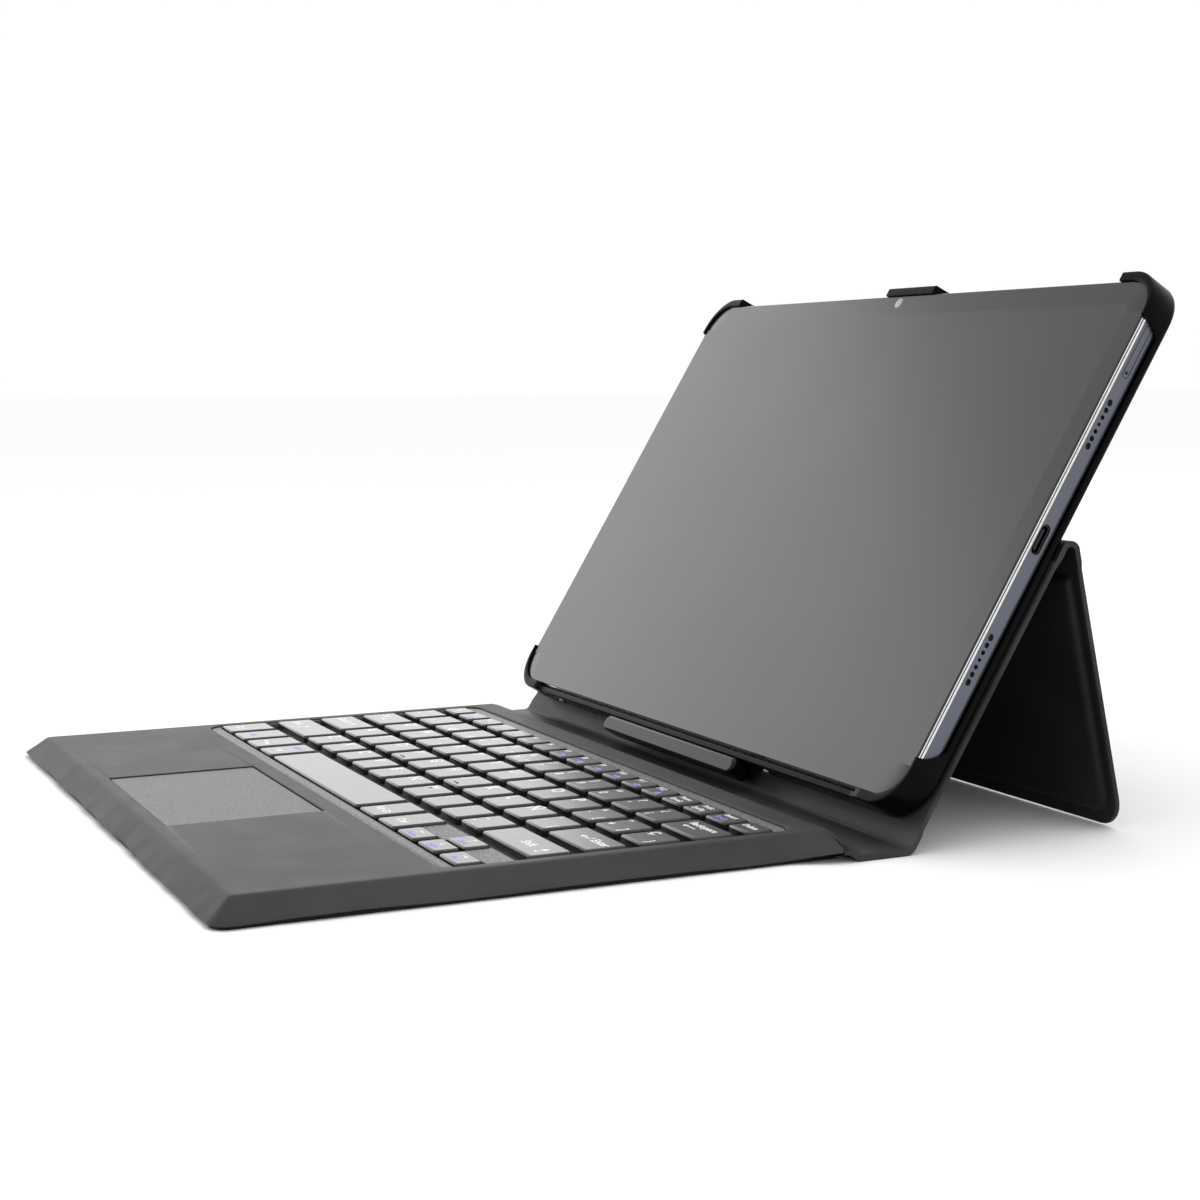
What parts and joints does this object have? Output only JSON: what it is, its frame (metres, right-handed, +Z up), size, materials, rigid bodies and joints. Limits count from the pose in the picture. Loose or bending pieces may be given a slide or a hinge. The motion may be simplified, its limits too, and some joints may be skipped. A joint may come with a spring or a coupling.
{
  "type": "tablet keyboard case",
  "caption": "Folio case with a keyboard base, a folding spine, a shell that clips round a tablet and a flap that folds out as a stand, open for typing.",
  "frame": {"origin": "centre of the footprint, on the table", "axes": "+X to the right of a person typing, +Y away from that person, +Z up"},
  "size_m": [0.264, 0.2806, 0.1576],
  "materials": {
    "leather": "matte embossed polyurethane",
    "lining": "short brushed microfibre",
    "shell_plastic": "satin black",
    "gloss_bar": "polished black",
    "key_plastic": "satin black",
    "plate_plastic": "fine spark texture",
    "pad_plastic": "fine speckled satin",
    "circuit": "solder mask",
    "board": "pressed grey board",
    "cell": "foil pouch",
    "steel": "plated",
    "anodised": "blue-grey anodised",
    "screen_glass": "polished, screen off"
  },
  "bodies": {
    "base": {"base_top_frame": "leather", "base_bottom_cover": "lining", "keyboard_deck": "plate_plastic", "keyboard_plate": "plate_plastic", "membrane_sheet": "circuit", "controller_board": "circuit", "battery_left": "cell", "magnet_left": "steel", "battery_right": "cell", "magnet_right": "steel", "port_block": "shell_plastic", "charge_socket": "steel"},
    "spine": {"spine_panel": "leather"},
    "tray": {"tray_shell": "shell_plastic", "docking_bar": "gloss_bar", "rivet_left": "steel", "rivet_right": "steel", "back_panel": "leather", "back_board": "board", "tablet_housing": "anodised", "tablet_glass": "screen_glass", "tablet_usb_port": "steel", "tablet_sim_tray": "anodised", "tablet_front_camera": "screen_glass", "tablet_rear_camera": "anodised"},
    "stand": {"stand_panel": "leather", "stand_board": "board"},
    "touchpad": {"touchpad": "pad_plastic"},
    "power_switch": {"power_switch": "key_plastic"},
    "escape_key": {"escape_key": "key_plastic"},
    "function_keys_left": {"function_keys_left": "key_plastic"},
    "function_keys_right": {"function_keys_right": "key_plastic"},
    "number_keys_left": {"number_keys_left": "key_plastic"},
    "number_keys_right": {"number_keys_right": "key_plastic"},
    "backspace_key": {"backspace_key": "key_plastic"},
    "tab_key": {"tab_key": "key_plastic"},
    "upper_letter_keys_left": {"upper_letter_keys_left": "key_plastic"},
    "upper_letter_keys_right": {"upper_letter_keys_right": "key_plastic"},
    "caps_lock_key": {"caps_lock_key": "key_plastic"},
    "middle_letter_keys_left": {"middle_letter_keys_left": "key_plastic"},
    "middle_letter_keys_right": {"middle_letter_keys_right": "key_plastic"},
    "enter_key": {"enter_key": "key_plastic"},
    "left_shift_key": {"left_shift_key": "key_plastic"},
    "lower_letter_keys_left": {"lower_letter_keys_left": "key_plastic"},
    "lower_letter_keys_right": {"lower_letter_keys_right": "key_plastic"},
    "right_shift_key": {"right_shift_key": "key_plastic"},
    "control_key": {"control_key": "key_plastic"},
    "modifier_keys_left": {"modifier_keys_left": "key_plastic"},
    "space_bar": {"space_bar": "key_plastic"},
    "modifier_keys_right": {"modifier_keys_right": "key_plastic"},
    "arrow_left_key": {"arrow_left_key": "key_plastic"},
    "arrow_down_key": {"arrow_down_key": "key_plastic"},
    "arrow_right_key": {"arrow_right_key": "key_plastic"},
    "arrow_up_key": {"arrow_up_key": "key_plastic"}
  },
  "joints": [
    {"name": "spine_fold", "type": "hinge", "parent": "base", "child": "spine", "pos_m": [0, 0.03111, 0.00085], "axis": [1, 0, 0], "range_deg": [0, 90]},
    {"name": "tray_fold", "type": "hinge", "parent": "spine", "child": "tray", "pos_m": [0, 0.05031, 0.00085], "axis": [1, 0, 0], "range_deg": [-58.6, 31.3]},
    {"name": "stand_fold", "type": "hinge", "parent": "tray", "child": "stand", "pos_m": [0, 0.10073, 0.07934], "axis": [1, 0, 0], "range_deg": [-41, 135.6]},
    {"name": "touchpad_click", "type": "slide", "parent": "base", "child": "touchpad", "axis": [0, 0, -1], "range_m": [0, 0.0003], "stiffness_N_per_m": 3000, "springref_m": -0.0003},
    {"name": "power_switch_slide", "type": "slide", "parent": "base", "child": "power_switch", "axis": [0, 1, 0], "range_m": [-0.0012, 0.0012]},
    {"name": "escape_key_press", "type": "slide", "parent": "base", "child": "escape_key", "axis": [0, 0, -1], "range_m": [0, 0.001], "stiffness_N_per_m": 450, "springref_m": -0.0005},
    {"name": "function_keys_left_press", "type": "slide", "parent": "base", "child": "function_keys_left", "axis": [0, 0, -1], "range_m": [0, 0.001], "stiffness_N_per_m": 450, "springref_m": -0.0005},
    {"name": "function_keys_right_press", "type": "slide", "parent": "base", "child": "function_keys_right", "axis": [0, 0, -1], "range_m": [0, 0.001], "stiffness_N_per_m": 450, "springref_m": -0.0005},
    {"name": "number_keys_left_press", "type": "slide", "parent": "base", "child": "number_keys_left", "axis": [0, 0, -1], "range_m": [0, 0.001], "stiffness_N_per_m": 450, "springref_m": -0.0005},
    {"name": "number_keys_right_press", "type": "slide", "parent": "base", "child": "number_keys_right", "axis": [0, 0, -1], "range_m": [0, 0.001], "stiffness_N_per_m": 450, "springref_m": -0.0005},
    {"name": "backspace_key_press", "type": "slide", "parent": "base", "child": "backspace_key", "axis": [0, 0, -1], "range_m": [0, 0.001], "stiffness_N_per_m": 450, "springref_m": -0.0005},
    {"name": "tab_key_press", "type": "slide", "parent": "base", "child": "tab_key", "axis": [0, 0, -1], "range_m": [0, 0.001], "stiffness_N_per_m": 450, "springref_m": -0.0005},
    {"name": "upper_letter_keys_left_press", "type": "slide", "parent": "base", "child": "upper_letter_keys_left", "axis": [0, 0, -1], "range_m": [0, 0.001], "stiffness_N_per_m": 450, "springref_m": -0.0005},
    {"name": "upper_letter_keys_right_press", "type": "slide", "parent": "base", "child": "upper_letter_keys_right", "axis": [0, 0, -1], "range_m": [0, 0.001], "stiffness_N_per_m": 450, "springref_m": -0.0005},
    {"name": "caps_lock_key_press", "type": "slide", "parent": "base", "child": "caps_lock_key", "axis": [0, 0, -1], "range_m": [0, 0.001], "stiffness_N_per_m": 450, "springref_m": -0.0005},
    {"name": "middle_letter_keys_left_press", "type": "slide", "parent": "base", "child": "middle_letter_keys_left", "axis": [0, 0, -1], "range_m": [0, 0.001], "stiffness_N_per_m": 450, "springref_m": -0.0005},
    {"name": "middle_letter_keys_right_press", "type": "slide", "parent": "base", "child": "middle_letter_keys_right", "axis": [0, 0, -1], "range_m": [0, 0.001], "stiffness_N_per_m": 450, "springref_m": -0.0005},
    {"name": "enter_key_press", "type": "slide", "parent": "base", "child": "enter_key", "axis": [0, 0, -1], "range_m": [0, 0.001], "stiffness_N_per_m": 450, "springref_m": -0.0005},
    {"name": "left_shift_key_press", "type": "slide", "parent": "base", "child": "left_shift_key", "axis": [0, 0, -1], "range_m": [0, 0.001], "stiffness_N_per_m": 450, "springref_m": -0.0005},
    {"name": "lower_letter_keys_left_press", "type": "slide", "parent": "base", "child": "lower_letter_keys_left", "axis": [0, 0, -1], "range_m": [0, 0.001], "stiffness_N_per_m": 450, "springref_m": -0.0005},
    {"name": "lower_letter_keys_right_press", "type": "slide", "parent": "base", "child": "lower_letter_keys_right", "axis": [0, 0, -1], "range_m": [0, 0.001], "stiffness_N_per_m": 450, "springref_m": -0.0005},
    {"name": "right_shift_key_press", "type": "slide", "parent": "base", "child": "right_shift_key", "axis": [0, 0, -1], "range_m": [0, 0.001], "stiffness_N_per_m": 450, "springref_m": -0.0005},
    {"name": "control_key_press", "type": "slide", "parent": "base", "child": "control_key", "axis": [0, 0, -1], "range_m": [0, 0.001], "stiffness_N_per_m": 450, "springref_m": -0.0005},
    {"name": "modifier_keys_left_press", "type": "slide", "parent": "base", "child": "modifier_keys_left", "axis": [0, 0, -1], "range_m": [0, 0.001], "stiffness_N_per_m": 450, "springref_m": -0.0005},
    {"name": "space_bar_press", "type": "slide", "parent": "base", "child": "space_bar", "axis": [0, 0, -1], "range_m": [0, 0.001], "stiffness_N_per_m": 450, "springref_m": -0.0005},
    {"name": "modifier_keys_right_press", "type": "slide", "parent": "base", "child": "modifier_keys_right", "axis": [0, 0, -1], "range_m": [0, 0.001], "stiffness_N_per_m": 450, "springref_m": -0.0005},
    {"name": "arrow_left_key_press", "type": "slide", "parent": "base", "child": "arrow_left_key", "axis": [0, 0, -1], "range_m": [0, 0.001], "stiffness_N_per_m": 450, "springref_m": -0.0005},
    {"name": "arrow_down_key_press", "type": "slide", "parent": "base", "child": "arrow_down_key", "axis": [0, 0, -1], "range_m": [0, 0.001], "stiffness_N_per_m": 450, "springref_m": -0.0005},
    {"name": "arrow_right_key_press", "type": "slide", "parent": "base", "child": "arrow_right_key", "axis": [0, 0, -1], "range_m": [0, 0.001], "stiffness_N_per_m": 450, "springref_m": -0.0005},
    {"name": "arrow_up_key_press", "type": "slide", "parent": "base", "child": "arrow_up_key", "axis": [0, 0, -1], "range_m": [0, 0.001], "stiffness_N_per_m": 450, "springref_m": -0.0005}
  ]
}
